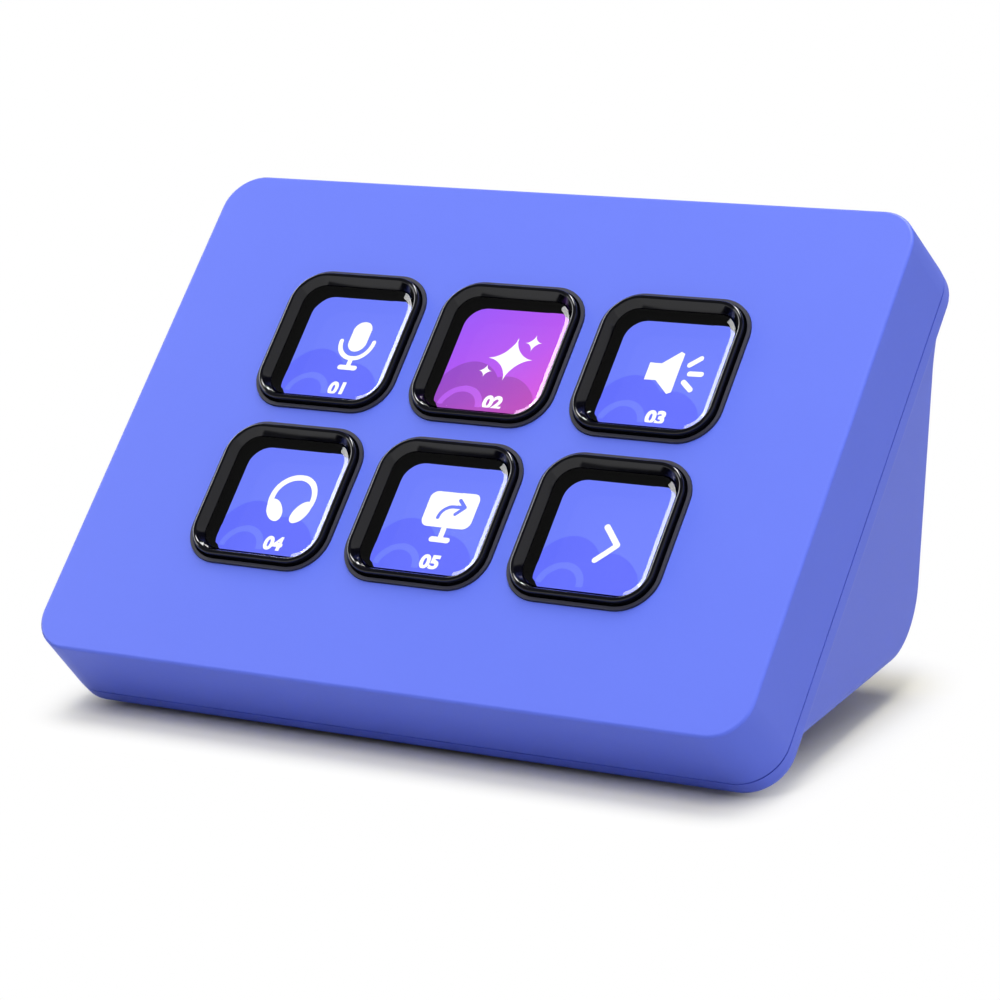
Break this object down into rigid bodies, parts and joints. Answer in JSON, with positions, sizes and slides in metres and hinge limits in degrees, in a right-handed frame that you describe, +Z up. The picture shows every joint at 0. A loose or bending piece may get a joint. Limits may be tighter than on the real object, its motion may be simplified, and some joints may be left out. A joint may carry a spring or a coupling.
{
  "type": "desk keypad with display keys",
  "caption": "Wedge-shaped desk keypad whose clear keys sit over one shared display, in a two-part plastic housing on a rubber foot.",
  "frame": {"origin": "on the desk, under the middle of the keypad", "axes": "+X to the user's right along the key rows, +Y away from the user towards the back wall, +Z up"},
  "size_m": [0.084, 0.0498, 0.0503],
  "materials": {
    "violet_plastic": "fine matt moulded",
    "violet_plastic_rear": "fine matt moulded",
    "black_frame_plastic": "matt moulded",
    "rim_gloss_black": "polished",
    "key_clear": "clear moulded",
    "display_glass": "lit display behind glass",
    "white_tray": "moulded",
    "flex_film": "film",
    "silicone": "matt silicone",
    "board_green": "solder mask over glass laminate",
    "zinc_steel": "zinc plated sheet",
    "plate_steel": "plain steel plate",
    "post_brass": "turned",
    "chip_black": "moulded",
    "header_white": "moulded",
    "screw_steel": "plated",
    "foot_rubber": "matt"
  },
  "bodies": {
    "housing": {"front_shell": "violet_plastic", "rear_shell": "violet_plastic_rear", "key_frame": "black_frame_plastic", "key_domes_1": "silicone", "key_domes_2": "silicone", "key_domes_3": "silicone", "key_domes_4": "silicone", "key_domes_5": "silicone", "key_domes_6": "silicone", "switch_board": "board_green", "display_panel": "display_glass", "display_backlight": "white_tray", "display_flex": "flex_film", "chassis": "zinc_steel", "standoffs": "post_brass", "main_board": "board_green", "board_chips": "chip_black", "cable_header": "header_white", "flex_socket": "header_white", "ballast_plate": "plate_steel", "foot_pad": "foot_rubber", "cable_gland": "foot_rubber", "shell_screws": "screw_steel", "board_screws": "screw_steel", "stand_screws": "screw_steel", "base_screws": "screw_steel"},
    "key_1": {"key_rim_1": "rim_gloss_black", "key_lens_1": "key_clear"},
    "key_2": {"key_rim_2": "rim_gloss_black", "key_lens_2": "key_clear"},
    "key_3": {"key_rim_3": "rim_gloss_black", "key_lens_3": "key_clear"},
    "key_4": {"key_rim_4": "rim_gloss_black", "key_lens_4": "key_clear"},
    "key_5": {"key_rim_5": "rim_gloss_black", "key_lens_5": "key_clear"},
    "key_6": {"key_rim_6": "rim_gloss_black", "key_lens_6": "key_clear"}
  },
  "joints": [
    {"name": "key_1_press", "type": "slide", "parent": "housing", "child": "key_1", "axis": [0, 0.7071, -0.7071], "range_m": [0, 0.001], "stiffness_N_per_m": 400, "deforming": ["key_domes_1"]},
    {"name": "key_2_press", "type": "slide", "parent": "housing", "child": "key_2", "axis": [0, 0.7071, -0.7071], "range_m": [0, 0.001], "stiffness_N_per_m": 400, "deforming": ["key_domes_2"]},
    {"name": "key_3_press", "type": "slide", "parent": "housing", "child": "key_3", "axis": [0, 0.7071, -0.7071], "range_m": [0, 0.001], "stiffness_N_per_m": 400, "deforming": ["key_domes_3"]},
    {"name": "key_4_press", "type": "slide", "parent": "housing", "child": "key_4", "axis": [0, 0.7071, -0.7071], "range_m": [0, 0.001], "stiffness_N_per_m": 400, "deforming": ["key_domes_4"]},
    {"name": "key_5_press", "type": "slide", "parent": "housing", "child": "key_5", "axis": [0, 0.7071, -0.7071], "range_m": [0, 0.001], "stiffness_N_per_m": 400, "deforming": ["key_domes_5"]},
    {"name": "key_6_press", "type": "slide", "parent": "housing", "child": "key_6", "axis": [0, 0.7071, -0.7071], "range_m": [0, 0.001], "stiffness_N_per_m": 400, "deforming": ["key_domes_6"]}
  ]
}
